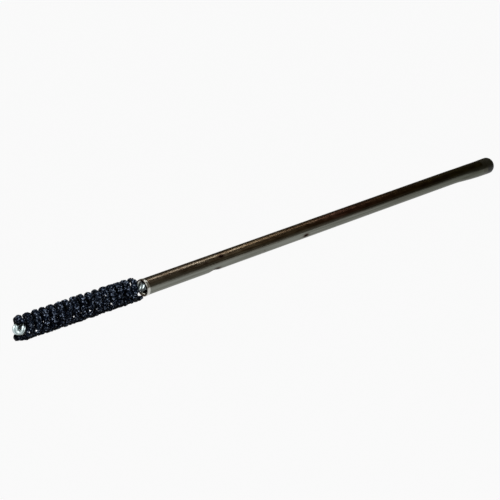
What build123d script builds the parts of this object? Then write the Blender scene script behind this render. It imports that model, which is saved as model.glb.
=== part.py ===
"""Abrasive bore brush: a twisted-in-wire brush with balls of abrasive, on a steel tube shank.

Millimetres. The tool lies along X, with its tip towards -X. The origin is on the axis, where the
straight, gripped part of the shank ends and its swelled end begins.
"""

import os
from math import atan2, ceil, cos, degrees, hypot, pi, radians, sin, sqrt, tan

from build123d import *

os.makedirs("parts", exist_ok=True)

# Shank: a plain round tube
shank_diameter = 6.35
straight_length = 178.0
mouth_chamfer_length = 1.8
mouth_chamfer_depth = 0.2
mouth_countersink = 0.25

# Swelled end of the tube, and the dark nose that closes it
swell_length = 14.6
swell_rise = 0.22
nose_length = 5.6
nose_end_radius = 3.0
nose_round = 1.3
plug_clearance = 0.02

# Stake mark that pinches the tube onto the stem
stake_distance = 33.0
stake_length = 5.2
stake_angle = 240.3

# Stem: two wires, each folded in half, their four strands twisted left-handed
wire_diameter = 0.95
wire_gap = 0.012
twist_lead = 6.38
stem_clearance = 0.47
stem_past_stake = 4.0
mouth_gap = 0.06
facets_per_turn = 8
wire_facets = 6

# Eye at the tip, where one fold lies partly round the other and the twist dies away
eye_half_width = 1.6
eye_reach = 2.73
eye_closing_length = 2.2
eye_bend_steps = 4
fold_nesting = 40.0
fold_gap = 0.05
fade_length = 2.3

# Filaments: one every so far along the stem, each standing out on both sides. The first of them
# splay towards the tip.
filament_count = 93
filaments_per_row = 6
filament_thickness = 0.23
first_filament_angle = 107.0
tip_splay = 13.0
splayed_filaments = 4
neck_length = 3.45

# Balls of abrasive on the filament ends
brush_diameter = 8.9
ball_height = 1.65
ball_crown_height = 0.6
ball_gap = 0.16
ridge_gap = 0.6
ball_foot_share = 0.68
ball_crest_share = 0.5

# The strands slope round the stem, which takes more room than wires lying straight
wire_radius = wire_diameter / 2
half_pair = wire_radius + wire_gap
half_pinch = wire_radius + filament_thickness / 2 + wire_gap
twist_rate = 2 * pi / twist_lead
straight_circle = hypot(half_pair, half_pinch)
strand_circle_radius = straight_circle / sqrt(1 - (straight_circle * twist_rate) ** 2)
tight_spread = half_pinch * hypot(1, strand_circle_radius * twist_rate)
stem_radius = strand_circle_radius + wire_radius

# Radii and stations along X that follow from the sizes above
shank_radius = shank_diameter / 2
bore_radius = stem_radius + stem_clearance
shank_wall = shank_radius - bore_radius
mouth_x = -straight_length
stake_x = mouth_x + stake_distance
stem_end_x = stake_x + stake_length / 2 + stem_past_stake
filament_pitch = twist_lead / 2 / filaments_per_row
last_filament_x = mouth_x - neck_length
first_filament_x = last_filament_x - (filament_count - 1) * filament_pitch
row_count = ceil(filament_count / filaments_per_row)
tip_x = first_filament_x - eye_reach + wire_radius
eye_x = tip_x + eye_half_width + half_pair * sin(radians(fold_nesting))
ball_foot_radius = brush_diameter / 2 - ball_height

# The stem is pinched at the stake, leans away from it and nearly touches the bore at the mouth
lean_angle = degrees(atan2(stem_clearance - mouth_gap, stake_distance - mouth_countersink))


def fade_share(x):
    """How far the twist has died away at x: 0 along the stem, 1 at the tip."""
    return min(1, max(0, (tip_x + fade_length - x) / fade_length))


def twist_angle(x):
    """Degrees from +Y towards +Z of the filament side of the stem at x.

    The twist is even along the stem. Where it dies away, it falls short by half the stretch gone.
    """
    short = fade_length * (fade_share(x) ** 2 - fade_share(first_filament_x) ** 2) / 2
    return first_filament_angle - degrees(twist_rate) * (x + short - first_filament_x)


def strand_point(x, side, spread, apart=half_pair):
    """Centre of a strand at x, spread across the filaments, on one side (1 or -1) along them.

    Going sideways, it keeps just clear of the other wire, whatever its slope there.
    """
    slope = twist_rate * (1 - fade_share(x))
    sideways = side * apart * hypot(1, slope * spread) / sqrt(1 - (slope * half_pair) ** 2)
    turn = radians(twist_angle(x))
    y = sideways * cos(turn) - spread * sin(turn)
    z = sideways * sin(turn) + spread * cos(turn)
    return (x, y, z)


def wire_route(side):
    """Points along one folded wire: up one strand, round the eye and back down the other."""
    leg = []
    steps = ceil((stem_end_x - eye_x) / twist_lead * facets_per_turn)
    for step in range(steps + 1):
        x = stem_end_x + (eye_x - stem_end_x) * step / steps
        closed = min(1, (x - eye_x) / eye_closing_length)
        ease = closed * closed * (3 - 2 * closed)
        spread = eye_half_width + (tight_spread - eye_half_width) * ease
        leg.append((x, spread))
    points = [strand_point(x, side, spread) for x, spread in leg]
    for step in range(1, 2 * eye_bend_steps):
        angle = pi * step / (2 * eye_bend_steps)
        nesting = radians(fold_nesting) * sin(angle) ** 2
        apart = half_pair + fold_gap * sin(angle) ** 2
        bend_radius = eye_half_width - side * half_pair * sin(nesting)
        x = eye_x - bend_radius * sin(angle)
        points.append(strand_point(x, side, bend_radius * cos(angle), apart * cos(nesting)))
    points += [strand_point(x, side, -spread) for x, spread in reversed(leg)]
    return points


def outward_plane(x, angle, splay):
    """Plane at x whose normal points out from the axis at an angle, tilted back by the splay."""
    turn = radians(angle)
    tilt = radians(splay)
    outward = (-sin(tilt), cos(tilt) * cos(turn), cos(tilt) * sin(turn))
    along = (cos(tilt), sin(tilt) * cos(turn), sin(tilt) * sin(turn))
    return Plane(origin=(x, 0, 0), x_dir=along, z_dir=outward)


def filament_planes(row):
    """Planes on the axis, one for each end of the filaments in one half turn of the stem."""
    first = row * filaments_per_row
    planes = []
    for number in range(first, min(first + filaments_per_row, filament_count)):
        x = first_filament_x + filament_pitch * number
        splay = tip_splay * max(0, 1 - number / splayed_filaments)
        planes += [outward_plane(x, twist_angle(x) + end, splay) for end in (0, 180)]
    return planes


# Dent of the stake mark: the punch presses the wall in as far as the stem. The wall keeps its
# thickness, so the pad inside is round about the same centre as the punch, one wall further in.
stake_depth = stem_clearance - wire_gap
punch_radius = ((stake_length / 2) ** 2 + stake_depth**2) / (2 * stake_depth)
punch_height = shank_radius - stake_depth + punch_radius
stake_plane = Plane(
    origin=(stake_x, 0, 0),
    x_dir=(1, 0, 0),
    z_dir=(0, -sin(radians(stake_angle)), cos(radians(stake_angle))),
)
lean_axis = Axis(stake_plane.origin, stake_plane.z_dir)


def export_leaning(part, name):
    """Writes a piece that leans with the stem, turned about the stake."""
    leaning = part.rotate(lean_axis, lean_angle)
    leaning.label = name
    export_step(leaning, f"parts/{name}.step")


with BuildPart() as stake_pad:
    with BuildSketch(stake_plane):
        with Locations((0, punch_height)):
            Circle(punch_radius + shank_wall)
    extrude(amount=bore_radius, both=True)
    with BuildSketch(Plane.YZ.offset(stake_x)):
        Circle(bore_radius)
    extrude(amount=punch_radius, both=True, mode=Mode.INTERSECT)

# Shank tube: a revolved wall, swelled at the free end, then staked onto the stem
with BuildPart() as shank_tube:
    with BuildSketch(Plane.XZ):
        with BuildLine():
            Polyline(
                (mouth_x, bore_radius + mouth_countersink),
                (mouth_x, shank_radius - mouth_chamfer_depth),
                (mouth_x + mouth_chamfer_length, shank_radius),
                (0, shank_radius),
                (swell_length, shank_radius + swell_rise),
                (swell_length, bore_radius + swell_rise),
                (0, bore_radius),
                (mouth_x + mouth_countersink, bore_radius),
                close=True,
            )
        make_face()
    revolve(axis=Axis.X)
    add(stake_pad.part)
    with BuildSketch(stake_plane):
        with Locations((0, punch_height)):
            Circle(punch_radius)
    extrude(amount=shank_radius, both=True, mode=Mode.SUBTRACT)
shank_tube.part.label = "shank_tube"
export_step(shank_tube.part, "parts/shank_tube.step")

# End plug: a dark rounded nose, with a tapered spigot that fills the swelled stretch of the bore
with BuildPart() as shank_end_plug:
    with BuildSketch(Plane.XZ):
        with BuildLine():
            Polyline(
                (0, 0),
                (0, bore_radius - plug_clearance),
                (swell_length, bore_radius + swell_rise - plug_clearance),
                (swell_length, shank_radius + swell_rise),
                (swell_length + nose_length, nose_end_radius),
                (swell_length + nose_length, 0),
                close=True,
            )
        make_face()
    revolve(axis=Axis.X)
    fillet(shank_end_plug.edges().filter_by(GeomType.CIRCLE).sort_by(Axis.X)[-1], nose_round)
shank_end_plug.part.label = "shank_end_plug"
export_step(shank_end_plug.part, "parts/shank_end_plug.step")

# Stem wires: a faceted wire swept along each folded route
for name, side in (("stem_wire_a", 1), ("stem_wire_b", -1)):
    with BuildPart() as stem_wire:
        with BuildLine() as route:
            Polyline(*wire_route(side))
        with BuildSketch(Plane(origin=route.line @ 0, z_dir=route.line % 0)):
            RegularPolygon(wire_radius, wire_facets)
        sweep(transition=Transition.RIGHT)
    export_leaning(stem_wire.part, name)

# One ball of abrasive, standing on its foot with the filament coming up from below. Its profile
# across the ridge is cut by its profile along the ridge, where it fits between its neighbours.
waist_height = ball_height - ball_crown_height
waist_across = twist_lead / 2 - ridge_gap
wedge = 2 * tan(pi / 2 / filaments_per_row)
waist_along = wedge * (ball_foot_radius + waist_height) - ball_gap
foot_along = wedge * ball_foot_radius - ball_gap


def ball_profile(foot, waist):
    """Half outline corners of a ball, doubled: foot, waist and crest."""
    crest = ball_crest_share * waist
    right = [(foot / 2, 0), (waist / 2, waist_height), (crest / 2, ball_height)]
    left = [(-across, height) for across, height in reversed(right)]
    return right + left


with BuildPart() as ball:
    with BuildSketch(Plane.XZ):
        Polygon(*ball_profile(ball_foot_share * waist_across, waist_across), align=None)
    extrude(amount=waist_along / 2, both=True)
    with BuildSketch(Plane.YZ):
        Polygon(*ball_profile(foot_along, waist_along), align=None)
    extrude(amount=waist_across / 2, both=True, mode=Mode.INTERSECT)

# Rows: the filaments of each half turn of the stem, and the balls on both of their ends
for row in range(row_count):
    planes = filament_planes(row)
    with BuildPart() as bristle_row:
        with BuildSketch(*planes):
            Rectangle(filament_thickness, filament_thickness)
        extrude(amount=ball_foot_radius)
    export_leaning(bristle_row.part, f"bristle_row_{row + 1:02d}")

    with BuildPart() as abrasive_row:
        with Locations(*[plane.offset(ball_foot_radius) for plane in planes]):
            add(ball.part)
    export_leaning(abrasive_row.part, f"abrasive_row_{row + 1:02d}")
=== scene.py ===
# %% [markdown]
# # An abrasive bore brush
#
# The brush cleans and hones the inside of small holes. A drill turns its steel tube, the tube holds
# a stem of twisted wire, and the wire pinches nylon filaments whose ends carry balls of abrasive
# grit. The balls lie in two spiral ridges. This lesson dresses the plain CAD model: each piece is
# worked out as a surface with numpy, and each finish is a small node tree.

# %% Open the CAD model
from math import pi, radians

import bpy
import numpy as np
from mathutils import Matrix, Quaternion, Vector


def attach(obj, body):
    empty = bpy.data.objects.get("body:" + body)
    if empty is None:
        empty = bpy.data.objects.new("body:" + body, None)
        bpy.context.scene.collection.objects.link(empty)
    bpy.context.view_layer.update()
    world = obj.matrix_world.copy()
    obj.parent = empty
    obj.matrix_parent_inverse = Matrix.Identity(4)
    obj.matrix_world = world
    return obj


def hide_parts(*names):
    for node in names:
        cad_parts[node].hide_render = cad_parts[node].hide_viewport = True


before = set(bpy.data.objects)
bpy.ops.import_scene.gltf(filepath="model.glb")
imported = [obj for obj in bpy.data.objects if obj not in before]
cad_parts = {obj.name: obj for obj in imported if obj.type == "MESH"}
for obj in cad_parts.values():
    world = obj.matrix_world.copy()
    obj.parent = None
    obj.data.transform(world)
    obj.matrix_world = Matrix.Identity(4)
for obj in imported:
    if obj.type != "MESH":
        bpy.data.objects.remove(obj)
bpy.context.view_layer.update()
print("nodes:", len(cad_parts))

# %% [markdown]
# ## Real sizes
#
# Every size is in millimetres, as on a workshop drawing, and MM turns it into Blender's metres. X
# runs along the tool, from the brush to the free end of the shank, and an angle round the tool
# counts from +Y towards +Z. What fits another piece follows from the sizes of that piece: the bore
# of the tube, for one, comes from the four strands and the filament pinched between them.

# %% Sizes of the tool
MM = 0.001
shank_radius = 3.175
mouth_x = -178.0
countersink = 0.25
stake_x = mouth_x + 33.0
stake_length, stake_angle = 5.2, radians(240.3)
swell_length, swell_rise, nose_length = 14.6, 0.42, 5.6

wire_radius, wire_gap = 0.475, 0.012
twist_lead = 6.38
twist_rate = 2 * pi / twist_lead
stem_clearance = 0.47
filament_radius = 0.115
filament_count, filaments_per_row = 93, 6
row_count = int(np.ceil(filament_count / filaments_per_row))
filament_pitch = twist_lead / 2 / filaments_per_row
neck_length = 3.45
first_filament_x = mouth_x - neck_length - (filament_count - 1) * filament_pitch
first_filament_angle = radians(107.0)

half_pair = wire_radius + wire_gap
half_pinch = wire_radius + filament_radius + wire_gap
straight_circle = np.hypot(half_pair, half_pinch)
strand_circle_radius = straight_circle / np.sqrt(1 - (straight_circle * twist_rate) ** 2)
tight_spread = half_pinch * np.hypot(1, strand_circle_radius * twist_rate)
bore_radius = strand_circle_radius + wire_radius + stem_clearance
print("first filament at", round(first_filament_x, 2), "mm, bore radius", round(bore_radius, 3), "mm")

# %% [markdown]
# ## From rings of points to a mesh
#
# Almost every piece here is a stack of rings: a tube, a wire, a filament and even a ball of grit.
# So one helper is enough. It takes an array of points with the shape (copies, rings, points round,
# 3) and works out all faces at once: a quad joins each point to its neighbour and to the same two
# points of the next ring. The first and last ring are closed with a flat cap, or joined to each
# other where the stack itself is a closed loop. Last, it measures the volume inside, which comes
# out negative where the faces look inwards, and then turns them round.

# %% Helper that makes a piece
def ring_faces(copies, rings, around, looped):
    """Quads (ring k, point j), (k, j + 1), (k + 1, j + 1), (k + 1, j), and the end caps."""
    count = rings if looped else rings - 1
    ring = np.arange(count)[:, None] * around
    after = (np.arange(count)[:, None] + 1) % rings * around
    here = np.arange(around)[None, :]
    beside = (here + 1) % around
    quads = np.stack([ring + here, ring + beside, after + beside, after + here], axis=-1)
    starts = np.arange(copies)[:, None, None] * rings * around
    quads = (quads.reshape(1, -1, 4) + starts).reshape(-1, 4)
    if looped:
        return quads, np.zeros((0, around), int)
    first = np.arange(around)[::-1]
    last = np.arange(around) + (rings - 1) * around
    caps = (np.stack([first, last])[None] + starts).reshape(-1, around)
    return quads, caps


def signed_volume(points, faces):
    """Sum over the fan triangles of each face of corner . (corner x corner) / 6."""
    total = 0.0
    for k in range(1, faces.shape[1] - 1):
        a, b, c = points[faces[:, 0]], points[faces[:, k]], points[faces[:, k + 1]]
        total += np.einsum("ij,ij->", a, np.cross(b, c)) / 6
    return total


def make_piece(name, stacks, material, node, sharp=35, looped=False):
    """One closed piece from rings of points in mm, which replaces a CAD node.

    Edges that bend by more than the sharp angle, in degrees, are shaded as edges.
    """
    copies, rings, around = stacks.shape[:3]
    points = stacks.reshape(-1, 3)
    quads, caps = ring_faces(copies, rings, around, looped)
    if signed_volume(points, quads) + signed_volume(points, caps) < 0:
        quads, caps = quads[:, ::-1], caps[:, ::-1]
    sizes = np.r_[np.full(len(quads), 4), np.full(len(caps), around)]
    corners = np.r_[quads.ravel(), caps.ravel()]
    mesh = bpy.data.meshes.new(name)
    mesh.vertices.add(len(points))
    mesh.vertices.foreach_set("co", (points * MM).ravel())
    mesh.loops.add(len(corners))
    mesh.loops.foreach_set("vertex_index", corners)
    mesh.polygons.add(len(sizes))
    mesh.polygons.foreach_set("loop_start", np.r_[0, np.cumsum(sizes)[:-1]])
    mesh.update(calc_edges=True)
    mesh.shade_smooth()
    mesh.set_sharp_from_angle(angle=radians(sharp))
    mesh.materials.append(material)
    piece = bpy.data.objects.new(name, mesh)
    bpy.context.scene.collection.objects.link(piece)
    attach(piece, "root")
    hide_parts(node)
    return piece


# %% [markdown]
# A few looks depend on the place on a piece in a way that no pattern gives: a stain by the stake
# mark, or one bright crystal. They are worked out here as a number for each point or face, and kept
# in the mesh as an attribute. The material then reads the attribute by its name.

# %% Helpers for numbers on a mesh
def store(piece, name, domain, values):
    """Keeps one number for each point or face of a piece."""
    layer = piece.data.attributes.new(name, "FLOAT", domain)
    layer.data.foreach_set("value", values.ravel().astype(np.float32))


def per_face(piece, measure, width):
    """A measure of every face, such as its centre (3 numbers) or its area (1)."""
    numbers = np.empty(len(piece.data.polygons) * width)
    piece.data.polygons.foreach_get(measure, numbers)
    return numbers.reshape(-1, width)


# %% [markdown]
# ## Helpers for the finishes
#
# A finish is a tree of nodes. One function adds any node: it sets the node's own settings, and then
# each input, which is given a value or linked from another node. Colours are written as the hex
# values that a paint chart would give, and turned to linear light once, here. Patterns are sized in
# millimetres: a Mapping scale of 1 / size makes one unit of a noise as long as that size.

# %% Helpers that make a material
def linear(code):
    """A hex colour such as A89C8C as linear red, green, blue and alpha."""
    parts = np.array([int(code[k : k + 2], 16) for k in (0, 2, 4)]) / 255
    light = np.where(parts <= 0.04045, parts / 12.92, ((parts + 0.055) / 1.055) ** 2.4)
    return (*light.tolist(), 1.0)


def per_size(*sizes):
    """Mapping scale at which one unit of a pattern is this many mm along X, Y and Z."""
    return [1 / (size * MM) for size in sizes]


def add(material, kind, inputs=(), **settings):
    """Adds a node of a kind with its settings, and sets each input or links it from a node.

    Of a node with several outputs, the first that is in use is linked, such as X of Separate XYZ.
    """
    tree = material.node_tree
    node = tree.nodes.new(kind)
    for key, value in settings.items():
        setattr(node, key, value)
    for key, value in dict(inputs).items():
        if isinstance(value, bpy.types.Node):
            value = next(socket for socket in value.outputs if socket.enabled)
        if isinstance(value, bpy.types.NodeSocket):
            tree.links.new(value, node.inputs[key])
        else:
            node.inputs[key].default_value = value
    return node


def new_material(name):
    """An empty node material, and the object's own coordinates in metres."""
    material = bpy.data.materials.new(name)
    material.use_nodes = True
    material.node_tree.nodes.clear()
    place = add(material, "ShaderNodeTexCoord").outputs["Object"]
    return material, place


# %% [markdown]
# ## Tarnished steel
#
# The shank is cold-drawn steel tube that has gone brown with age. Steel is a metal, so Metallic is 1
# and its colour is the colour of what it reflects: low values, because the film of tarnish swallows
# light. The film is grey-brown by the mouth and nearly black at the free end. A painted image could
# show that, but the tube would have to be unwrapped for it, so a colour ramp along X does it with
# seven colours. A noise darkens the ramp in patches. The lower front side of the tube, which mirrors
# the floor, is painted paler and greyer as a painted reflection of the floor, and a dot product of
# the place with the direction of that side finds it.

# %% Film of tarnish
# Drawn steel under a thin film of rust. To the eye it is a dull brown mirror, which shows a lamp as
# one long soft line.
steel, place = new_material("tarnished_drawn_steel")
along = add(steel, "ShaderNodeSeparateXYZ", {0: place})
ramp_start, ramp_end = -180, 20
ramp_share = add(
    steel,
    "ShaderNodeMapRange",
    {"Value": along, "From Min": ramp_start * MM, "From Max": ramp_end * MM},
)
ramp = add(steel, "ShaderNodeValToRGB", {0: ramp_share})
# Place along X in mm, and the colour there
film_colours = [
    (-172, "746A5D"),
    (-148, "827869"),
    (-125, "83745E"),
    (-100, "6C5A46"),
    (-78, "604236"),
    (-45, "4A3824"),
    (-5, "3A3418"),
]
stops = ramp.color_ramp.elements
while len(stops) < len(film_colours):
    stops.new(1.0)
for stop, (x, code) in zip(stops, film_colours):
    stop.position = (x - ramp_start) / (ramp_end - ramp_start)
    stop.color = linear(code)

patch_place = add(steel, "ShaderNodeMapping", {0: place, "Scale": per_size(5, 1.5, 1.5)})
patches = add(steel, "ShaderNodeTexNoise", {"Vector": patch_place, "Scale": 1.0, "Detail": 2.0})
patches = add(steel, "ShaderNodeMapRange", {"Value": patches, "From Min": 0.38, "From Max": 0.62})
patch_shade = add(
    steel,
    "ShaderNodeMix",
    {"Factor": patches, "A": linear("C0B4A8"), "B": linear("FFFFFF")},
    data_type="RGBA",
)
brown = add(
    steel,
    "ShaderNodeMix",
    {"Factor": 1.0, "A": ramp, "B": patch_shade},
    data_type="RGBA",
    blend_type="MULTIPLY",
)
print("film colours:", len(film_colours))

# %% The side that mirrors the floor, painted paler and greyer
# Unit vector from the axis to the side that mirrors the floor, and how many mm out that way the
# painted grey reflection sets in
floor_mirror_way = (0, -0.906, -0.423)
floor_mirror_from, floor_mirror_to = 1.5 * MM, 2.75 * MM
painted_floor_reflection = add(steel, "ShaderNodeVectorMath", {0: place, 1: floor_mirror_way}, operation="DOT_PRODUCT")
painted_floor_reflection = add(
    steel,
    "ShaderNodeMapRange",
    {"Value": painted_floor_reflection, "From Min": floor_mirror_from, "From Max": floor_mirror_to},
)
# The painted floor reflection darkens towards the free end
far = add(steel, "ShaderNodeMapRange", {"Value": along, "From Min": -100 * MM, "From Max": 0.0})
grey = add(
    steel,
    "ShaderNodeMix",
    {"Factor": far, "A": linear("7E8079"), "B": linear("5A5C53")},
    data_type="RGBA",
)
film = add(
    steel,
    "ShaderNodeMix",
    {"Factor": painted_floor_reflection, "A": brown, "B": grey},
    data_type="RGBA",
)
print("nodes so far:", len(steel.node_tree.nodes))

# %% [markdown]
# The die that the tube was drawn through left fine lengthwise streaks, so a noise is stretched
# sixtyfold along X. Real streaks are too fine to show from here, so they are drawn 0.5 mm wide. They
# darken the film in lines, and also drive the roughness and a shallow bump, which frays the
# highlight. Rust and soot lie on top where an attribute of the mesh says so, and so does painted
# shade inside the mouth and at the edge of the stake dent: the first half of its value brings in
# rust and the second half soot. Seen at a flat angle any metal turns into a pale mirror, which would
# hide the soot, so soot darkens the Specular Tint as well.

# %% Streaks, stains and gloss
streak_place = add(steel, "ShaderNodeMapping", {0: place, "Scale": per_size(30, 0.5, 0.5)})
streaks = add(steel, "ShaderNodeTexNoise", {"Vector": streak_place, "Scale": 1.0, "Detail": 1.5})
lines = add(steel, "ShaderNodeMapRange", {"Value": streaks, "From Min": 0.36, "From Max": 0.64})
line_shade = add(
    steel,
    "ShaderNodeMix",
    {"Factor": lines, "A": linear("D2D0CC"), "B": linear("FFFFFF")},
    data_type="RGBA",
)
film = add(
    steel,
    "ShaderNodeMix",
    {"Factor": 1.0, "A": film, "B": line_shade},
    data_type="RGBA",
    blend_type="MULTIPLY",
)
# Stains, with painted shade inside the mouth and a painted shadow at the stake dent
stain_and_shade = add(steel, "ShaderNodeAttribute", attribute_name="stain_and_shade").outputs["Fac"]
rust_and_shade = add(steel, "ShaderNodeMapRange", {"Value": stain_and_shade, "From Max": 0.5})
soot_and_shade = add(steel, "ShaderNodeMapRange", {"Value": stain_and_shade, "From Min": 0.5})
for layer, code in ((rust_and_shade, "33211A"), (soot_and_shade, "0C0A08")):
    film = add(
        steel,
        "ShaderNodeMix",
        {"Factor": layer, "A": film, "B": linear(code)},
        data_type="RGBA",
    )
edge_tint = add(
    steel,
    "ShaderNodeMix",
    {"Factor": soot_and_shade, "A": linear("E8E8E6"), "B": linear("202020")},
    data_type="RGBA",
)
gloss = add(steel, "ShaderNodeMapRange", {"Value": streaks, "To Min": 0.2, "To Max": 0.4})
scratches = add(
    steel,
    "ShaderNodeBump",
    {"Height": streaks, "Strength": 0.06, "Distance": 0.03 * MM},
)
shader = add(
    steel,
    "ShaderNodeBsdfPrincipled",
    {
        "Base Color": film,
        "Metallic": 1.0,
        "Roughness": gloss,
        "Specular Tint": edge_tint,
        "Normal": scratches,
    },
)
add(steel, "ShaderNodeOutputMaterial", {"Surface": shader})
print(steel.name, len(steel.node_tree.nodes), "nodes")

# %% [markdown]
# ## Turned steel
#
# The rim of the mouth and a band at the free end were turned on a lathe, so they are paler and
# cleaner than the film. The lathe tool leaves fine rings round them: a noise squeezed along X. The
# free end has gone dark with age, the turned band too, so the colour is darkened along X.

# %% Turned steel edge
# Bright steel, cut by a lathe tool. To the eye it is a pale ring with a crisp glint. Real tool marks
# are about 0.1 mm apart, which wouldn't show, so they are drawn 0.4 mm apart.
turned_steel, place = new_material("turned_steel_edge")
ring_place = add(turned_steel, "ShaderNodeMapping", {0: place, "Scale": per_size(0.4, 4, 4)})
rings = add(turned_steel, "ShaderNodeTexNoise", {"Vector": ring_place, "Scale": 1.0})
ring_colour = add(
    turned_steel,
    "ShaderNodeMix",
    {"Factor": rings, "A": linear("B4B4AE"), "B": linear("D2D2CC")},
    data_type="RGBA",
)
along = add(turned_steel, "ShaderNodeSeparateXYZ", {0: place})
ageing = add(
    turned_steel,
    "ShaderNodeMapRange",
    {"Value": along, "From Min": -100 * MM, "From Max": 0.0},
)
ring_colour = add(
    turned_steel,
    "ShaderNodeMix",
    {"Factor": ageing, "A": ring_colour, "B": linear("44433A")},
    data_type="RGBA",
)
ring_gloss = add(turned_steel, "ShaderNodeMapRange", {"Value": rings, "To Min": 0.2, "To Max": 0.4})
shader = add(
    turned_steel,
    "ShaderNodeBsdfPrincipled",
    {"Base Color": ring_colour, "Metallic": 1.0, "Roughness": ring_gloss},
)
add(turned_steel, "ShaderNodeOutputMaterial", {"Surface": shader})
print(turned_steel.name)

# %% [markdown]
# ## Zinc
#
# The wires are galvanised: dipped in zinc, which froze in spangles of about a millimetre. When the
# brush was dipped in resin and grit, the wires between the balls were smeared too. The smear starts
# behind the eye; from the mouth on, the same darkening is painted shade on the strands, and it fades
# out inside the tube. A ramp up along X, less a second ramp further on, gives that with three nodes.
# In two spots at the mouth the zinc is left bright as painted highlights, and those come from an
# attribute of the mesh.

# %% Zinc of the wires
# Galvanised steel wire. Zinc is pale and a little blue, and dull because it weathers, so the lamps
# show in it as soft broad lights.
zinc, place = new_material("galvanised_wire_zinc")
spangle_place = add(zinc, "ShaderNodeMapping", {0: place, "Scale": per_size(1, 1, 1)})
spangle = add(zinc, "ShaderNodeTexNoise", {"Vector": spangle_place, "Scale": 1.0, "Detail": 3.0})
zinc_colour = add(
    zinc,
    "ShaderNodeMix",
    {"Factor": spangle, "A": linear("B4C4C8"), "B": linear("E8F4F4")},
    data_type="RGBA",
)
along = add(zinc, "ShaderNodeSeparateXYZ", {0: place})
smear_and_shade = add(
    zinc,
    "ShaderNodeMapRange",
    {"Value": along, "From Min": -229.9 * MM, "From Max": -229.0 * MM},
)
# By the mouth and inside the tube the darkening is painted shade, which fades out along X
shade_fades_out = add(
    zinc,
    "ShaderNodeMapRange",
    {"Value": along, "From Min": -181.5 * MM, "From Max": -165.0 * MM},
)
smear_and_shade = add(zinc, "ShaderNodeMath", {0: smear_and_shade, 1: shade_fades_out}, operation="SUBTRACT")
# Two spots of painted highlight, where the smear is taken away and the zinc stays bright
painted_highlight = add(zinc, "ShaderNodeAttribute", attribute_name="painted_highlight").outputs["Fac"]
smear_and_shade = add(zinc, "ShaderNodeMath", {0: smear_and_shade, 1: painted_highlight}, operation="SUBTRACT", use_clamp=True)
zinc_colour = add(
    zinc,
    "ShaderNodeMix",
    {"Factor": smear_and_shade, "A": zinc_colour, "B": linear("14161C")},
    data_type="RGBA",
)
zinc_gloss = add(zinc, "ShaderNodeMapRange", {"Value": spangle, "To Min": 0.5, "To Max": 0.7})
zinc_bump = add(
    zinc,
    "ShaderNodeBump",
    {"Height": spangle, "Strength": 0.1, "Distance": 0.04 * MM},
)
shader = add(
    zinc,
    "ShaderNodeBsdfPrincipled",
    {"Base Color": zinc_colour, "Metallic": 1.0, "Roughness": zinc_gloss, "Normal": zinc_bump},
)
add(zinc, "ShaderNodeOutputMaterial", {"Surface": shader})
print(zinc.name)

# %% [markdown]
# ## Nylon and the plug
#
# The nylon filaments are black and were extruded, so their gloss varies along them in fine lines: a
# noise stretched along X. The plug at the free end was moulded in a very dark olive rubbery plastic.
# A mould leaves no lines, so its noise has the same size every way, and it drives a soft bump like
# the peel of an orange. Both could be one material, but they would then share a gloss.

# %% Black nylon
# Extruded nylon. It hides between the balls, and to the eye it is black with a faint line of light.
nylon, place = new_material("black_nylon_filament")
draw_place = add(nylon, "ShaderNodeMapping", {0: place, "Scale": per_size(2, 0.3, 0.3)})
draw_lines = add(nylon, "ShaderNodeTexNoise", {"Vector": draw_place, "Scale": 1.0})
nylon_gloss = add(nylon, "ShaderNodeMapRange", {"Value": draw_lines, "To Min": 0.2, "To Max": 0.5})
shader = add(
    nylon,
    "ShaderNodeBsdfPrincipled",
    {"Base Color": linear("14151A"), "Roughness": nylon_gloss},
)
add(nylon, "ShaderNodeOutputMaterial", {"Surface": shader})
print(nylon.name)

# %% Moulded plug
# Moulded plastic that has gone dull. To the eye it is a dark round nose that hardly shines, so its
# Specular IOR Level is under half of the usual 0.5.
plug_black, place = new_material("black_moulded_plug")
peel_place = add(plug_black, "ShaderNodeMapping", {0: place, "Scale": per_size(1, 1, 1)})
peel = add(plug_black, "ShaderNodeTexNoise", {"Vector": peel_place, "Scale": 1.0})
peel_gloss = add(plug_black, "ShaderNodeMapRange", {"Value": peel, "To Min": 0.25, "To Max": 0.55})
peel_bump = add(
    plug_black,
    "ShaderNodeBump",
    {"Height": peel, "Strength": 0.3, "Distance": 0.03 * MM},
)
shader = add(
    plug_black,
    "ShaderNodeBsdfPrincipled",
    {
        "Base Color": linear("0E0D06"),
        "Roughness": peel_gloss,
        "Specular IOR Level": 0.22,
        "Normal": peel_bump,
    },
)
add(plug_black, "ShaderNodeOutputMaterial", {"Surface": shader})
print(plug_black.name)

# %% [markdown]
# ## Silicon carbide grit
#
# The balls are silicon carbide grit bound in black resin. Its crystals are nearly black, flat and
# shiny, and each could be a small mesh, but there would be many thousands of them. Voronoi cells
# split the surface into crystals instead. Each cell has a random colour, whose red part picks the
# shade, from near black to blue-grey, and which also tilts the normal when it is taken as a
# direction, so that every crystal is lit a little differently. Where a cell ends, black resin shows
# between the crystals. Places that lie deep between the balls are darkened as painted shade: the
# mesh says how deep. The few faces painted near white as glints come from the mesh too.

# %% Grit in resin
# Broken crystals in resin. To the eye they are a dark blue sparkle. Real crystals are about 0.1 mm,
# too fine to show, so they are drawn 0.6 mm across. A surface as broken as this mirrors nothing at
# a flat angle either, so Specular IOR Level is nearly 0 and the outline of the brush stays black.
grit, place = new_material("silicon_carbide_grit_in_resin")
crystal_place = add(grit, "ShaderNodeMapping", {0: place, "Scale": per_size(0.6, 0.6, 0.6)})
crystals = add(grit, "ShaderNodeTexVoronoi", {"Vector": crystal_place, "Scale": 1.0})
random_colour = crystals.outputs["Color"]
random_part = add(grit, "ShaderNodeSeparateColor", {0: random_colour})
shade = add(grit, "ShaderNodeMapRange", {"Value": random_part, "From Min": 0.35, "From Max": 1.0})
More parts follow.
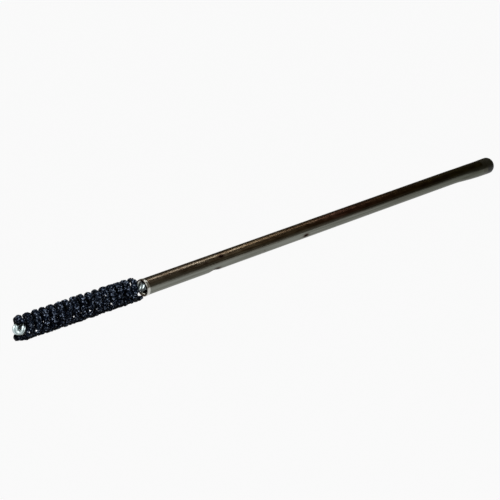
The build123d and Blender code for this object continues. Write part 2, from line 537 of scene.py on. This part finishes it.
# Painted shade where the grit lies deep between the balls
painted_depth_shade = add(grit, "ShaderNodeAttribute", attribute_name="painted_depth_shade").outputs["Fac"]
# Painted glints: chosen faces turned near white
painted_glint = add(grit, "ShaderNodeAttribute", attribute_name="painted_glint").outputs["Fac"]
resin = add(grit, "ShaderNodeMapRange", {"Value": crystals, "From Min": 0.3, "From Max": 0.55})
crystal_colour = linear("18202E")
for layer, code in ((shade, "727E92"), (painted_depth_shade, "03040A"), (painted_glint, "F4F6F8"), (resin, "020307")):
    crystal_colour = add(
        grit,
        "ShaderNodeMix",
        {"Factor": layer, "A": crystal_colour, "B": linear(code)},
        data_type="RGBA",
    )
tilt = add(
    grit,
    "ShaderNodeVectorMath",
    {0: random_colour, 1: (0.5, 0.5, 0.5)},
    operation="SUBTRACT",
)
normal = add(grit, "ShaderNodeNewGeometry").outputs["Normal"]
tilt = add(grit, "ShaderNodeVectorMath", {0: tilt, 1: normal}, operation="ADD")
tilt = add(grit, "ShaderNodeVectorMath", {0: tilt}, operation="NORMALIZE")
shader = add(
    grit,
    "ShaderNodeBsdfPrincipled",
    {
        "Base Color": crystal_colour,
        "Roughness": 0.4,
        "Specular IOR Level": 0.015,
        "Normal": tilt,
    },
)
add(grit, "ShaderNodeOutputMaterial", {"Surface": shader})
print(grit.name, len(grit.node_tree.nodes), "nodes")

# %% [markdown]
# ## The shank
#
# The wall of the tube is a profile turned round X: the outside with the raised rim of its mouth and
# its swelled end, then back along the bore to the flare inside the mouth. Blender's Screw modifier
# could turn it as well. Here it is worked out as points, which lie closer together where the stake
# mark will move them. The profile is a closed loop, so the stack of rings is looped and needs no
# caps.

# %% Helpers for a turned piece
def turned(profile, around):
    """Turns profile points (x, radius) round the X axis: y = r cos, z = r sin."""
    angle = np.arange(around) * 2 * pi / around
    x, r = profile[:, 0, None], profile[:, 1, None]
    return np.stack([x + 0 * angle, r * np.cos(angle), r * np.sin(angle)], axis=-1)


def subdivide(corners, step):
    """Points along straight runs between corners, about one step apart."""
    pieces = []
    for a, b in zip(corners[:-1], corners[1:]):
        a, b = np.array(a, float), np.array(b, float)
        count = max(1, int(np.ceil(np.linalg.norm(b - a) / step)))
        pieces.append(a + (b - a) * np.arange(count)[:, None] / count)
    return np.vstack([*pieces, np.array(corners[-1:], float)])


print("points on a 10 mm run in steps of 3:", len(subdivide([(0, 0), (10, 0)], 3)))

# %% Wall of the tube
# Points (x, radius) in mm, with fine steps at the rim and the dent and coarse ones between
flare_radius, mouth_radius = 2.55, 2.75
rim = [
    (mouth_x, mouth_radius),
    (mouth_x, shank_radius + 0.1),
    (mouth_x + 0.3, shank_radius + 0.16),
    (mouth_x + 1.2, shank_radius + 0.07),
    (mouth_x + 1.5, shank_radius),
]
dent_start, dent_end = (stake_x - 4, shank_radius), (stake_x + 6, shank_radius)
swell = [
    (-3, shank_radius),
    (5, shank_radius + 0.27),
    (swell_length, shank_radius + swell_rise),
]
outer = np.vstack(
    [
        subdivide(rim, 0.3)[:-1],
        subdivide([rim[-1], dent_start], 0.7)[:-1],
        subdivide([dent_start, dent_end], 0.14)[:-1],
        subdivide([dent_end, swell[0]], 0.7)[:-1],
        subdivide(swell, 1.0),
    ]
)
bore = [
    (swell_length, bore_radius + swell_rise),
    (0, bore_radius),
    (mouth_x + 0.9, bore_radius),
    (mouth_x + 0.2, flare_radius),
]
points_round = 144
wall = turned(np.vstack([outer, subdivide(bore, 2.0)]), points_round)
print("wall:", wall.shape)

# %% [markdown]
# A round punch has pressed the wall in at the stake. Wherever a point lies above the punch's
# cylinder, it moves straight down onto it. A Boolean with a cylinder would cut the same dent, with
# ragged faces along its edge. The bore stays round behind the dent, where nobody can see it. The
# free end of this tube is also bent a little to one side.

# %% Stake mark and bent end
stake_out = np.array([0, np.cos(stake_angle), np.sin(stake_angle)])
bend_start, bend_length, bend_offset = -8, 20, 0.45


def bent_end(points):
    """Moves the free end sideways by its offset times s^2 (3 - 2 s), s being 0 to 1 along it."""
    share = np.clip((points[..., 0] - bend_start) / bend_length, 0, 1)
    return points + (bend_offset * share**2 * (3 - 2 * share))[..., None] * stake_out


stake_depth = stem_clearance - wire_gap
punch_radius = ((stake_length / 2) ** 2 + stake_depth**2) / (2 * stake_depth)
punch_height = shank_radius - stake_depth + punch_radius
height = wall @ stake_out
from_stake = wall[..., 0] - stake_x
punch_face = punch_height - np.sqrt(np.clip(punch_radius**2 - from_stake**2, 0, None))
under_punch = np.abs(from_stake) < stake_length / 2
pressed = np.where(under_punch & (height > punch_face), height - punch_face, 0)
wall = bent_end(wall - pressed[..., None] * stake_out)
print("pressed in by", round(float(pressed.max()), 2), "mm")

# %% Mesh of the tube
# The outside of the rim and of the last 3 mm gets the turned finish
rim_end, band_start = mouth_x + 1.4, swell_length - 3.0
shank = make_piece("drawn_tube", wall[None], steel, "shank_tube", looped=True)
centre_x, centre_y, centre_z = (per_face(shank, "center", 3) / MM).T
outside = np.hypot(centre_y, centre_z) > bore_radius + countersink / 2
lathed = ((centre_x > mouth_x) & (centre_x < rim_end)) | (centre_x > band_start)
shank.data.materials.append(turned_steel)
shank.data.polygons.foreach_set("material_index", (outside & lathed).astype(np.int32))
print("shank faces:", len(shank.data.polygons))

# %% [markdown]
# ## Stains and painted shade
#
# The tube has a few dark marks by the stake and a pit further on. The darkest, at the edge of the
# stake dent, is a painted shadow of that edge. Each mark is a soft round spot, and painting it on an
# image would need the tube unwrapped. A formula on the points of the mesh needs nothing: the darkness
# falls off as exp(-(distance / size)^2), and the darkest spot wins. The flare inside the mouth is
# darkened all round with painted shade, a little more so at the top.

# %% Stain and painted shade attribute of the tube
# Place along X in mm, angle in degrees, length and width in mm, and darkness
marks = [
    # The first mark is a painted shadow at the edge of the stake dent; the rest are stains and a pit
    (-144.4, 212, 1.7, 0.7, 1.0),
    (-142.3, 86, 2.4, 0.4, 0.9),
    (-141.6, 127, 1.4, 0.8, 0.75),
    (-149.5, 137, 1.4, 0.5, 0.4),
    (-97.8, 199, 1.3, 0.7, 1.0),
    (-120.1, 199, 0.5, 0.3, 0.3),
    (-120.6, 156, 1.0, 0.3, 0.2),
]


def spots(points, radius, marks):
    """Darkest of exp(-(distance along / length)^2 - (distance round / width)^2) at each point."""
    value = np.zeros(points.shape[:-1])
    angle = np.arctan2(points[..., 2], points[..., 1])
    for x, turn, length, width, strength in marks:
        turn = angle - radians(turn)
        across = radius * np.arctan2(np.sin(turn), np.cos(turn))
        spot = np.exp(-(((points[..., 0] - x) / length) ** 2) - (across / width) ** 2)
        value = np.maximum(value, strength * spot)
    return value


stain_and_shade_value = spots(wall, shank_radius, marks)
# Painted shade inside the flare of the mouth, darker towards the top
mouth_shade, shade_per_mm_up, shade_length = 0.65, 0.06, 0.7
inside = np.hypot(wall[..., 1], wall[..., 2]) < shank_radius
at_mouth = (wall[..., 0] < mouth_x + shade_length) & inside
stain_and_shade_value[at_mouth] = mouth_shade + shade_per_mm_up * wall[..., 2][at_mouth]
store(shank, "stain_and_shade", "POINT", stain_and_shade_value)
print("marks:", len(marks))

# %% [markdown]
# ## The end plug
#
# The plug is turned round X too: a tapered spigot inside the swelled end of the tube, then a nose
# whose rounded edge is a quarter of an ellipse. A cylinder with a Bevel modifier would look the
# same, but the plug has to bend with the end of the tube, and a function of points does that.

# %% End plug
end_radius = shank_radius + swell_rise
nose_x = swell_length + nose_length
spigot_gap, seam_gap = 0.03, 0.005
nose_round, nose_flat_radius = 2.6, 0.8
bend = np.linspace(0, pi / 2, 12)
nose_drop = end_radius - seam_gap - nose_flat_radius
nose = np.stack(
    [nose_x - nose_round + nose_round * np.sin(bend), nose_flat_radius + nose_drop * np.cos(bend)],
    axis=-1,
)
spigot = [
    (0.5, bore_radius - spigot_gap),
    (swell_length, bore_radius + swell_rise - spigot_gap),
    (swell_length, end_radius - seam_gap),
]
plug_profile = np.vstack([spigot, nose, [(nose_x, 0.02)]])
plug_rings = bent_end(turned(plug_profile, 96))[None]
make_piece("rounded_plug", plug_rings, plug_black, "shank_end_plug")
print("plug rings:", len(plug_profile))

# %% [markdown]
# ## The twisted stem
#
# Two wires are folded in half, laid side by side and twisted left-handed, so four strands lie round
# the axis. At the tip the folds make the eye: there the twist dies away, the strands spread apart,
# and one fold runs partly round the other. A curve with a bevel could draw the wires, but the
# strands touch along the whole twist, so their centre lines are worked out exactly.

# %% Twist and eye
eye_half_width, fold_nesting, fold_gap = 1.6, radians(40.0), 0.05
eye_reach, closing_length, fade_length = 2.73, 2.2, 2.3
stem_past_stake = 4.0
stem_end_x = stake_x + stake_length / 2 + stem_past_stake
tip_x = first_filament_x - eye_reach + wire_radius
eye_x = tip_x + eye_half_width + half_pair * np.sin(fold_nesting)


def fade_share(x):
    """How far the twist has died away at x: 0 along the stem, 1 at the tip."""
    return np.clip((tip_x + fade_length - x) / fade_length, 0, 1)


def twist_angle(x):
    """Angle of the filament side of the stem at x: first angle - rate (x + short - first x).

    Where the twist dies away, it falls short by half the stretch gone.
    """
    short = fade_length * (fade_share(x) ** 2 - fade_share(first_filament_x) ** 2) / 2
    return first_filament_angle - twist_rate * (x + short - first_filament_x)


print("eye at", round(eye_x, 2), "mm")

# %% Route of a folded wire
points_per_turn, eye_points = 40, 42


def strand_points(x, side, spread, apart):
    """Centre line of a strand: spread across the filaments and pushed to one side along them.

    y = sideways cos t - spread sin t and z = sideways sin t + spread cos t, t being the twist.
    """
    slope = twist_rate * (1 - fade_share(x))
    sideways = side * apart * np.hypot(1, slope * spread) / np.sqrt(1 - (slope * half_pair) ** 2)
    turn = twist_angle(x)
    y = sideways * np.cos(turn) - spread * np.sin(turn)
    z = sideways * np.sin(turn) + spread * np.cos(turn)
    return np.stack([x, y, z], axis=-1)


def folded_route(side):
    """One wire: up a strand from the shank, round the eye and back down the other strand.

    Along the strand the spread goes from wide to tight as s^2 (3 - 2 s). Round the eye it is the
    bend radius times cos t, and x is the eye's x less the bend radius times sin t.
    """
    x = np.linspace(stem_end_x, eye_x, int((stem_end_x - eye_x) / twist_lead * points_per_turn))
    closed = np.clip((x - eye_x) / closing_length, 0, 1)
    spread = eye_half_width + (tight_spread - eye_half_width) * closed**2 * (3 - 2 * closed)
    turn = np.linspace(0, pi, eye_points)[1:-1]
    nesting = fold_nesting * np.sin(turn) ** 2
    bend_radius = eye_half_width - side * half_pair * np.sin(nesting)
    apart = (half_pair + fold_gap * np.sin(turn) ** 2) * np.cos(nesting)
    bend_x = eye_x - bend_radius * np.sin(turn)
    return np.vstack(
        [
            strand_points(x, side, spread, half_pair),
            strand_points(bend_x, side, bend_radius * np.cos(turn), apart),
            strand_points(x[::-1], side, -spread[::-1], half_pair),
        ]
    )


print("points on a route:", len(folded_route(1)))

# %% [markdown]
# A wire is a circle carried along its route, square to it. Each circle needs a first point that
# doesn't spin as the route winds, so it is the one that faces away from the axis of the tool. The
# whole stem is pinched at the stake and leans a little away from it, until it nearly touches the
# bore at the mouth, and everything that the stem carries leans with it.

# %% Stem wires
mouth_gap = 0.06
lean = np.arctan2(stem_clearance - mouth_gap, stake_x - mouth_x - countersink)


def round_wire(route, radius, around):
    """Rings square to a route: centre + radius (cos t out + sin t over)."""
    ahead = np.gradient(route, axis=0)
    ahead /= np.linalg.norm(ahead, axis=1, keepdims=True)
    out = route * (0, 1, 1)
    out -= ahead * np.einsum("ij,ij->i", out, ahead)[:, None]
    out /= np.linalg.norm(out, axis=1, keepdims=True)
    over = np.cross(ahead, out)
    angle = np.arange(around) * 2 * pi / around
    ring = np.cos(angle)[:, None] * out[:, None] + np.sin(angle)[:, None] * over[:, None]
    return route[:, None] + radius * ring


def leaning(points):
    """Turns points about the stake by the lean l, so that the tip moves away from its side.

    along' = along cos l + up sin l and up' = up cos l - along sin l.
    """
    along = points[..., 0] - stake_x
    up = -(points @ stake_out)
    new_along = along * np.cos(lean) + up * np.sin(lean)
    new_up = up * np.cos(lean) - along * np.sin(lean)
    moved = points - (new_up - up)[..., None] * stake_out
    moved[..., 0] = stake_x + new_along
    return moved


# Spots of painted highlight, where the zinc stays bright, written as the marks on the tube are
painted_highlight_marks = [(-178.2, 143, 0.5, 0.7, 1.0), (-179.7, 122, 0.45, 1.0, 0.6)]
painted_highlight_radius, wire_around = 1.3, 16
for letter, side in (("a", 1), ("b", -1)):
    rings = leaning(round_wire(folded_route(side), wire_radius, wire_around))
    wire = make_piece(f"folded_wire_{letter}", rings[None], zinc, f"stem_wire_{letter}")
    store(wire, "painted_highlight", "POINT", spots(rings, painted_highlight_radius, painted_highlight_marks))
print("wire rings:", rings.shape, "lean", round(float(np.degrees(lean)), 2), "degrees")

# %% [markdown]
# ## Filaments
#
# A filament crosses the stem every half millimetre, and its angle follows the twist. It could be a
# copy of one rod, turned into place, but all the rods of a row are worked out at once as easily. Its
# two ends are separate rods, because the first few splay towards the tip.

# %% Filaments
numbers = np.arange(filament_count)
stations = first_filament_x + numbers * filament_pitch
angles = twist_angle(stations)
tip_splay, splayed_filaments = radians(13.0), 4
splays = tip_splay * np.clip(1 - numbers / splayed_filaments, 0, None)
row_numbers = numbers // filaments_per_row
ball_centre_height = 3.6


def directions(angle, splay):
    """Unit vectors at each filament end: along the tool, out along the filament and crosswise.

    Out is (-sin s, cos s cos a, cos s sin a), s being the splay and a the angle.
    """
    cos_s, sin_s = np.cos(splay), np.sin(splay)
    along = np.stack([cos_s, sin_s * np.cos(angle), sin_s * np.sin(angle)], axis=-1)
    out = np.stack([-sin_s, cos_s * np.cos(angle), cos_s * np.sin(angle)], axis=-1)
    return along, out, np.cross(out, along)


def filament_rings(x, angle, splay):
    """Thin rods out from the axis: centre + radius (cos t along + sin t across), eight round."""
    along, out, across = directions(angle, splay)
    reach = np.array([0.0, 1.0, ball_centre_height])
    turn = np.arange(8)[:, None] * pi / 4
    ring = np.cos(turn) * along[:, None] + np.sin(turn) * across[:, None]
    centre = reach[:, None] * out[:, None]
    centre[..., 0] += x[:, None]
    return centre[:, :, None] + filament_radius * ring[:, None]


print("filament ends:", 2 * len(stations))

# %% [markdown]
# ## Balls of grit
#
# The ball on each end of a filament is a rounded box, |x/a|^n + |y/b|^n + |z/c|^n = 1, whose radius
# in any direction is that sum to the power -1/n. There are 186 of them, so each has only a few
# dozen faces. That suits grit: shaded flat, with every corner pushed in or out by its own random
# amount, each face is one broken crystal. Every ball also has its own size and a small shift, so no
# two are alike. The first balls are larger than the rest. By the mouth the balls grow below the
# stem and shrink above it.

# %% Balls
rng = np.random.default_rng(7)
# Half sizes in mm along the ridge, across it and outwards
ball_sizes = np.array([1.22, 1.25, 1.0])
ball_layers, ball_around, ball_power = 8, 12, 2.6
# Random shifts of the corners, in radians and in mm, and of the whole ball in mm
polar_shift, turn_shift, chipped_in, chipped_out = 0.1, 0.16, 0.22, 0.2
height_shift, flank_shift, first_shift = 0.1, 0.16, 0.35
# The ridge climbs as it winds, at 13 degrees
ridge_cos, ridge_sin = 0.974, 0.228
brush_radius = 4.73


def ball_rings(x, angle, splay):
    """Radius in each direction = rounded box + noise, along the ridge, across it and outwards."""
    corners = (len(x), ball_layers, ball_around)
    polar = (np.arange(ball_layers) + 0.5)[:, None] * pi / ball_layers
    polar = polar + rng.uniform(-polar_shift, polar_shift, corners)
    turn = np.arange(ball_around) * 2 * pi / ball_around
    turn = turn + rng.uniform(-turn_shift, turn_shift, corners)
    way = np.stack(
        [np.cos(polar), np.sin(polar) * np.cos(turn), np.sin(polar) * np.sin(turn)],
        axis=-1,
    )
    size = ball_sizes * rng.uniform(0.9, 1.1, (len(x), 1, 1, 3))

    # The first balls, and the last three, the last one and the last two by the mouth
    first = splay > radians(10)
    from_mouth = mouth_x - x
    below = np.cos(angle - stake_angle) > 0
    size[first] *= (1.1, 1.45, 1.0)
    size[(from_mouth < 4.7) & below] *= (1.0, 1.25, 1.0)
    size[(from_mouth < 3.7) & below] *= (1.1, 1.15, 0.8)
    size[(from_mouth < 4.3) & ~below] *= (0.9, 0.7, 0.8)
    body = (np.abs(way / size) ** ball_power).sum(-1) ** (-1 / ball_power)
    noise = rng.uniform(-chipped_in, chipped_out, corners) * np.sin(polar)
    local = way * (body + noise)[..., None]

    # A ball is turned about its filament, to lie along the ridge
    along, out, across = directions(angle, splay)
    ridge = across * ridge_cos + along * ridge_sin
    flank = along * ridge_cos - across * ridge_sin
    middle = out * (ball_centre_height + rng.normal(size=(len(x), 1)) * height_shift)
    middle += flank * rng.normal(size=(len(x), 1)) * flank_shift
    middle[:, 0] += x + first_shift * first
    points = middle[:, None, None] + local[..., 0:1] * ridge[:, None, None]
    points += local[..., 1:2] * flank[:, None, None] + local[..., 2:3] * out[:, None, None]

    # A bore brush is round, so no lump stands further out than the brush's radius
    radius = np.hypot(points[..., 1], points[..., 2])
    points[..., 1:] *= np.minimum(1, brush_radius / np.maximum(radius, 1))[..., None]
    return points


print("faces on a ball:", (ball_layers - 1) * ball_around + 2)

# %% [markdown]
# A few crystal faces are painted near white as glints. A strong lamp would make flashes by chance,
# and in other places in every view. So they are chosen: for each place in a short list, the face
# that is near to it and small, since a broken crystal that flashes is a small one.

# %% Places that get a painted glint
# Place along X in mm, angle in degrees, and brightness
glints = np.array(
    [
        (-229.75, 183, 0.7),
        (-226.97, 183, 0.8),
        (-221.25, 181, 1.0),
        (-220.27, 183, 0.8),
        (-223.04, 154, 0.6),
        (-222.27, 160, 0.7),
        (-214.65, 182, 0.7),
        (-210.94, 180, 1.0),
        (-204.60, 181, 1.0),
        (-201.42, 180, 0.8),
        (-194.97, 180, 0.7),
        (-196.43, 136, 0.5),
        (-189.34, 178, 1.0),
        (-182.96, 179, 0.6),
    ]
)
glint_radius, glint_reach, size_weight = 4.4, 1.1, 0.8
glint_turn = np.radians(glints[:, 1])
glint_places = np.stack(
    [glints[:, 0], glint_radius * np.cos(glint_turn), glint_radius * np.sin(glint_turn)],
    axis=-1,
)
glint_places = leaning(glint_places)
print("flashes:", len(glints))

# %% [markdown]
# The CAD model has one node for the filaments of each half turn and one for their balls, so the
# pieces are made row by row. How deep a point lies, which sets its painted shade, is measured from
# the axis before the row leans with the stem. Sharp edges everywhere keep each crystal face flat.

# %% Rows of filaments and balls
# Points deeper than the lit radius get painted shade, up to the deepest share
lit_radius, shadow_depth, deepest = 4.55, 1.1, 0.9
for row in range(row_count):
    in_row = row_numbers == row
    x, splay = np.tile(stations[in_row], 2), np.tile(splays[in_row], 2)
    angle = np.r_[angles[in_row], angles[in_row] + pi]
    name = f"row_{row + 1:02d}"
    rods = leaning(filament_rings(x, angle, splay))
    make_piece(f"filaments_{name}", rods, nylon, f"bristle_{name}")
    balls = ball_rings(x, angle, splay)
    sunk = lit_radius - np.hypot(balls[..., 1], balls[..., 2])
    balls = leaning(balls)
    piece = make_piece(f"grit_{name}", balls, grit, f"abrasive_{name}", sharp=0)
    store(piece, "painted_depth_shade", "POINT", np.clip(sunk / shadow_depth, 0, deepest))
    centres = per_face(piece, "center", 3) / MM
    apart = np.linalg.norm(centres[:, None] - glint_places, axis=-1)
    score = apart + size_weight * np.sqrt(per_face(piece, "area", 1)) / MM
    chosen = (score == score.min(axis=0)) & (apart < glint_reach)
    store(piece, "painted_glint", "FACE", (chosen * glints[:, 2]).max(axis=1))
print("balls:", 2 * filament_count, "faces in the last row:", len(piece.data.polygons))

# %% [markdown]
# ## The stage
#
# The tool floats well above a pale floor. A brightly lit floor would light the tool from below and
# turn the dark brush grey. So a camera ray sees the floor as plain glow, which makes the background
# even, and so do the mirror-like rays from the steel. Other rays meet grey paper. A little of the
# paper is mixed into the glow, so that the floor still takes the tool's shadow.

# %% Floor and world
paper = new_material("pale_paper_floor")[0]
rays = add(paper, "ShaderNodeLightPath")
seen = rays.outputs["Is Camera Ray"]
for kind in ("Is Glossy Ray", "Is Transmission Ray"):
    either = {0: seen, 1: rays.outputs[kind]}
    seen = add(paper, "ShaderNodeMath", either, operation="MAXIMUM")
# 93 % glow, at a strength that makes up for the rest
glow_share = add(paper, "ShaderNodeMath", {0: seen, 1: 0.93}, operation="MULTIPLY")
matt = add(paper, "ShaderNodeBsdfDiffuse", {"Color": linear("484846")})
glow = add(paper, "ShaderNodeEmission", {"Color": linear("FAFAFA"), "Strength": 1.07})
mixed = add(paper, "ShaderNodeMixShader", {0: glow_share, 1: matt, 2: glow})
add(paper, "ShaderNodeOutputMaterial", {"Surface": mixed})

# Half the width of the floor and its height, in metres
half, drop = 6.0, -0.4
corners = [(-half, -half, drop), (half, -half, drop), (half, half, drop), (-half, half, drop)]
floor_mesh = bpy.data.meshes.new("floor")
floor_mesh.from_pydata(corners, [], [(0, 1, 2, 3)])
floor_mesh.materials.append(paper)
floor = bpy.data.objects.new("floor", floor_mesh)
bpy.context.scene.collection.objects.link(floor)

# The world is a dim warm room, which fills the shadows
world = bpy.data.worlds.new("studio")
bpy.context.scene.world = world
world.use_nodes = True
background = world.node_tree.nodes["Background"]
background.inputs["Color"].default_value = (0.12, 0.108, 0.08, 1)
background.inputs["Strength"].default_value = 1.0
print("stage:", floor.name, "and", world.name)

# %% [markdown]
# ## The lamps
#
# The window is a long lamp right overhead. It makes the thin highlight on the tube: a cylinder
# mirrors a lamp as a line, and the line ends where the mirrored ray passes the end of the lamp. The
# key lamp stands at the left, where no part of the tube mirrors it, and lights the brush and the
# wires. Point lamps would do the same work with hard dots for highlights.

# %% Lamps
def area_lamp(name, place, facing, size_x, size_y, watts):
    """A soft box: a rectangle of light at a place in mm. Unturned, it shines straight down."""
    lamp = bpy.data.lights.new(name, "AREA")
    lamp.shape = "RECTANGLE"
    lamp.size, lamp.size_y = size_x * MM, size_y * MM
    lamp.energy = watts
    box = bpy.data.objects.new(name, lamp)
    box.matrix_world = Matrix.Translation(place * MM) @ facing.to_matrix().to_4x4()
    bpy.context.scene.collection.objects.link(box)


area_lamp("window", Vector((130, 115, 420)), Quaternion(), 200, 95, 0.38)
key_place, key_target = Vector((-390, -320, 600)), Vector((-170, 0, 0))
to_brush = (key_target - key_place).to_track_quat("-Z", "Y")
area_lamp("key", key_place, to_brush, 420, 420, 9.5)
print("lamps:", len(bpy.data.lights))

# %% [markdown]
# ## The camera
#
# The camera looks down on the tool from the front left. Its direction, distance and lens come from
# the photograph: the taper of the tube fixes the lens, and the ring of its mouth the direction. A
# roll of a third of a degree and a small step down finish the fit.

# %% Camera
forward = Vector((0.6176, 0.6835, -0.3891)).normalized()
level_right = forward.cross(Vector((0, 0, 1))).normalized()
level_up = level_right.cross(forward)
roll = 0.00645
right = level_right * np.cos(roll) - level_up * np.sin(roll)
up = level_right * np.sin(roll) + level_up * np.cos(roll)
aimed_at, distance, step_down = Vector((-125.1, 0, 0)), 549.8, 0.28
eye = (aimed_at - forward * distance - level_up * step_down) * MM
camera_data = bpy.data.cameras.new("camera")
camera_data.lens = 102.6
camera_data.sensor_width = 36
camera_data.clip_start = 0.01
camera = bpy.data.objects.new("camera", camera_data)
camera.matrix_world = Matrix.Translation(eye) @ Matrix((right, up, -forward)).transposed().to_4x4()
bpy.context.scene.collection.objects.link(camera)
bpy.context.scene.camera = camera
bpy.context.scene.view_settings.view_transform = "Standard"
print("camera at", [round(v / MM, 1) for v in eye])
